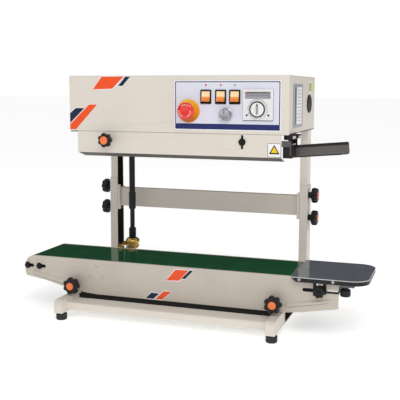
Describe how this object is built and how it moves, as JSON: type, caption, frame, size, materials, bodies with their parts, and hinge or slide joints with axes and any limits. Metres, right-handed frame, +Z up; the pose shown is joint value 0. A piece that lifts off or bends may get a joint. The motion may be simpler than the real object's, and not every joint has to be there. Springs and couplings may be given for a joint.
{
  "type": "continuous band sealer",
  "caption": "Upright continuous band sealer: control head on slotted columns over a green belt conveyor, with an infeed plate and a bag guide",
  "frame": {"origin": "middle of the object's box, on the surface that the rubber feet stand on", "axes": "+X along the conveyor towards the infeed plate, +Y from the control face to the back, +Z up"},
  "size_m": [0.8785, 0.413, 0.599],
  "materials": {
    "beige_paint": "satin powder coat",
    "conveyor_paint": "satin powder coat",
    "rubber": "matt",
    "green_belt": "smooth",
    "bright_steel": "turned",
    "black_steel": "blackened",
    "brass": "turned",
    "slate_paint": "gloss",
    "guide_paint": "satin",
    "black_plastic": "moulded",
    "panel_print": "printed",
    "estop_yellow": "moulded",
    "estop_red": "moulded",
    "rocker_amber": "moulded",
    "knob_silver": "turned",
    "meter_white": "moulded",
    "motor_paint": "satin",
    "board_green": "coated",
    "fin_aluminium": "extruded",
    "band_cloth": "coated glass cloth"
  },
  "bodies": {
    "stand": {"base_frame": "beige_paint", "rubber_feet": "rubber", "column_lower_left": "beige_paint", "column_lower_right": "beige_paint"},
    "conveyor": {"conveyor_front_plate": "conveyor_paint", "conveyor_rear_plate": "conveyor_paint", "conveyor_deck": "bright_steel", "conveyor_belt": "green_belt", "drive_bearings": "bright_steel", "gear_bracket": "brass"},
    "head": {"column_upper_left": "beige_paint", "column_upper_right": "beige_paint", "crossbar": "conveyor_paint", "head_casing": "beige_paint", "back_panel": "beige_paint", "base_plate": "conveyor_paint", "front_cover": "beige_paint", "control_panel": "panel_print", "vent_cap": "black_plastic", "power_inlet": "black_plastic", "estop_base": "estop_yellow", "switch_bezels": "black_plastic", "temp_controller": "meter_white", "gear_motor": "motor_paint", "drive_chain": "bright_steel", "control_board": "board_green", "heating_blocks": "brass", "cooling_blocks": "fin_aluminium", "seal_bands": "band_cloth", "head_screws": "bright_steel"},
    "drive_roller": {"drive_roller": "bright_steel"},
    "lower_shaft": {"lower_shaft": "black_steel", "bevel_pinion": "brass"},
    "idler_left": {"idler_left": "bright_steel"},
    "idler_right": {"idler_right": "bright_steel"},
    "tension_carriage": {"tension_blocks": "black_steel"},
    "feed_table": {"feed_plate": "slate_paint"},
    "feed_knob_front": {"feed_knob_front": "black_plastic"},
    "feed_knob_lower": {"feed_knob_lower": "black_plastic"},
    "conveyor_knob_left": {"conveyor_knob_left": "black_plastic"},
    "conveyor_knob_right": {"conveyor_knob_right": "black_plastic"},
    "estop_button": {"estop_button": "estop_red"},
    "rocker_left": {"rocker_left": "rocker_amber"},
    "rocker_middle": {"rocker_middle": "rocker_amber"},
    "rocker_right": {"rocker_right": "rocker_amber"},
    "speed_knob": {"speed_knob": "knob_silver"},
    "temp_dial": {"temp_dial": "meter_white"},
    "pressure_knob": {"pressure_knob": "black_plastic"},
    "column_knob_left_upper": {"column_knob_left_upper": "black_plastic"},
    "column_knob_left_lower": {"column_knob_left_lower": "black_plastic"},
    "column_knob_right_upper": {"column_knob_right_upper": "black_plastic"},
    "column_knob_right_lower": {"column_knob_right_lower": "black_plastic"},
    "band_wheel_left_front": {"band_wheel_left_front": "bright_steel"},
    "band_wheel_left_rear": {"band_wheel_left_rear": "bright_steel"},
    "band_wheel_right_front": {"band_wheel_right_front": "bright_steel"},
    "band_wheel_right_rear": {"band_wheel_right_rear": "bright_steel"},
    "press_roller_front": {"press_roller_front": "rubber"},
    "press_roller_rear": {"press_roller_rear": "rubber"},
    "upper_shaft": {"upper_shaft": "black_steel"},
    "guide": {"guide_chute": "guide_paint"}
  },
  "joints": [
    {"name": "head_height", "type": "slide", "parent": "stand", "child": "head", "axis": [0, 0, 1], "range_m": [-0.03, 0.01]},
    {"name": "conveyor_height", "type": "slide", "parent": "stand", "child": "conveyor", "axis": [0, 0, 1], "range_m": [0, 0.02]},
    {"name": "drive_roller_spin", "type": "hinge", "parent": "conveyor", "child": "drive_roller", "pos_m": [-0.233, -0.0455, 0.1083], "axis": [0, 1, 0], "continuous": true},
    {"name": "lower_shaft_spin", "type": "hinge", "parent": "conveyor", "child": "lower_shaft", "pos_m": [-0.233, 0.0945, 0.2], "axis": [0, 0, 1], "continuous": true},
    {"name": "upper_shaft_spin", "type": "hinge", "parent": "head", "child": "upper_shaft", "pos_m": [-0.233, 0.0945, 0.4], "axis": [0, 0, 1], "continuous": true},
    {"name": "belt_tension", "type": "slide", "parent": "conveyor", "child": "tension_carriage", "axis": [1, 0, 0], "range_m": [0, 0.014]},
    {"name": "idler_left_spin", "type": "hinge", "parent": "tension_carriage", "child": "idler_left", "pos_m": [-0.412, -0.0455, 0.1133], "axis": [0, 1, 0], "continuous": true},
    {"name": "idler_right_spin", "type": "hinge", "parent": "conveyor", "child": "idler_right", "pos_m": [0.257, -0.0455, 0.1133], "axis": [0, 1, 0], "continuous": true},
    {"name": "feed_plate_slide", "type": "slide", "parent": "conveyor", "child": "feed_table", "axis": [1, 0, 0], "range_m": [-0.025, 0.02]},
    {"name": "feed_knob_front_turn", "type": "hinge", "parent": "feed_table", "child": "feed_knob_front", "pos_m": [0.33, -0.1355, 0.111], "axis": [0, -1, 0], "range_deg": [0, 360]},
    {"name": "feed_knob_lower_turn", "type": "hinge", "parent": "feed_table", "child": "feed_knob_lower", "pos_m": [0.386, -0.1105, 0.11], "axis": [0, 0, -1], "range_deg": [0, 360]},
    {"name": "conveyor_knob_left_turn", "type": "hinge", "parent": "conveyor", "child": "conveyor_knob_left", "pos_m": [-0.2925, -0.1355, 0.0755], "axis": [0, -1, 0], "range_deg": [0, 360]},
    {"name": "conveyor_knob_right_turn", "type": "hinge", "parent": "conveyor", "child": "conveyor_knob_right", "pos_m": [0.2265, -0.1355, 0.0755], "axis": [0, -1, 0], "range_deg": [0, 360]},
    {"name": "column_knob_left_upper_turn", "type": "hinge", "parent": "head", "child": "column_knob_left_upper", "pos_m": [-0.328, 0.1385, 0.2945], "axis": [-1, 0, 0], "range_deg": [0, 360]},
    {"name": "column_knob_left_lower_turn", "type": "hinge", "parent": "head", "child": "column_knob_left_lower", "pos_m": [-0.328, 0.1385, 0.2355], "axis": [-1, 0, 0], "range_deg": [0, 360]},
    {"name": "column_knob_right_upper_turn", "type": "hinge", "parent": "head", "child": "column_knob_right_upper", "pos_m": [0.262, 0.1385, 0.2945], "axis": [1, 0, 0], "range_deg": [0, 360]},
    {"name": "column_knob_right_lower_turn", "type": "hinge", "parent": "head", "child": "column_knob_right_lower", "pos_m": [0.262, 0.1385, 0.2355], "axis": [1, 0, 0], "range_deg": [0, 360]},
    {"name": "estop_press", "type": "slide", "parent": "head", "child": "estop_button", "axis": [0, 1, 0], "range_m": [0, 0.005], "stiffness_N_per_m": 200},
    {"name": "rocker_left_tilt", "type": "hinge", "parent": "head", "child": "rocker_left", "pos_m": [0.048, -0.1035, 0.549], "axis": [1, 0, 0], "range_deg": [0, 18]},
    {"name": "rocker_middle_tilt", "type": "hinge", "parent": "head", "child": "rocker_middle", "pos_m": [0.0845, -0.1035, 0.549], "axis": [1, 0, 0], "range_deg": [0, 18]},
    {"name": "rocker_right_tilt", "type": "hinge", "parent": "head", "child": "rocker_right", "pos_m": [0.1188, -0.1035, 0.549], "axis": [1, 0, 0], "range_deg": [0, 18]},
    {"name": "speed_knob_turn", "type": "hinge", "parent": "head", "child": "speed_knob", "pos_m": [0.0975, -0.1155, 0.5075], "axis": [0, -1, 0], "range_deg": [-270, 0]},
    {"name": "temp_dial_turn", "type": "hinge", "parent": "head", "child": "temp_dial", "pos_m": [0.175, -0.1135, 0.521], "axis": [0, -1, 0], "range_deg": [-135, 135]},
    {"name": "pressure_knob_turn", "type": "hinge", "parent": "head", "child": "pressure_knob", "pos_m": [-0.2035, -0.1255, 0.4425], "axis": [0, -1, 0], "range_deg": [-360, 360]},
    {"name": "guide_height", "type": "slide", "parent": "head", "child": "guide", "axis": [0, 0, 1], "range_m": [-0.008, 0.008]},
    {"name": "band_wheel_left_front_spin", "type": "hinge", "parent": "head", "child": "band_wheel_left_front", "pos_m": [-0.169, -0.0716, 0.433], "axis": [0, 0, 1], "continuous": true},
    {"name": "band_wheel_left_rear_spin", "type": "hinge", "parent": "head", "child": "band_wheel_left_rear", "pos_m": [-0.169, -0.0194, 0.433], "axis": [0, 0, 1], "continuous": true},
    {"name": "band_wheel_right_front_spin", "type": "hinge", "parent": "head", "child": "band_wheel_right_front", "pos_m": [0.127, -0.0716, 0.433], "axis": [0, 0, 1], "continuous": true},
    {"name": "band_wheel_right_rear_spin", "type": "hinge", "parent": "head", "child": "band_wheel_right_rear", "pos_m": [0.127, -0.0194, 0.433], "axis": [0, 0, 1], "continuous": true},
    {"name": "press_roller_front_spin", "type": "hinge", "parent": "head", "child": "press_roller_front", "pos_m": [-0.219, -0.0658, 0.433], "axis": [0, 0, 1], "continuous": true},
    {"name": "press_roller_rear_spin", "type": "hinge", "parent": "head", "child": "press_roller_rear", "pos_m": [-0.219, -0.0252, 0.433], "axis": [0, 0, 1], "continuous": true}
  ],
  "couplings": [
    {"joint": "lower_shaft_spin", "follows": "drive_roller_spin", "ratio": 1.6667},
    {"joint": "upper_shaft_spin", "follows": "drive_roller_spin", "ratio": 1.6667},
    {"joint": "idler_left_spin", "follows": "drive_roller_spin", "ratio": 1.2083},
    {"joint": "idler_right_spin", "follows": "drive_roller_spin", "ratio": 1.2083},
    {"joint": "band_wheel_left_front_spin", "follows": "drive_roller_spin", "ratio": -1.1667},
    {"joint": "band_wheel_left_rear_spin", "follows": "drive_roller_spin", "ratio": 1.1667},
    {"joint": "band_wheel_right_front_spin", "follows": "drive_roller_spin", "ratio": -1.1667},
    {"joint": "band_wheel_right_rear_spin", "follows": "drive_roller_spin", "ratio": 1.1667},
    {"joint": "press_roller_front_spin", "follows": "drive_roller_spin", "ratio": -1.45},
    {"joint": "press_roller_rear_spin", "follows": "drive_roller_spin", "ratio": 1.45}
  ]
}
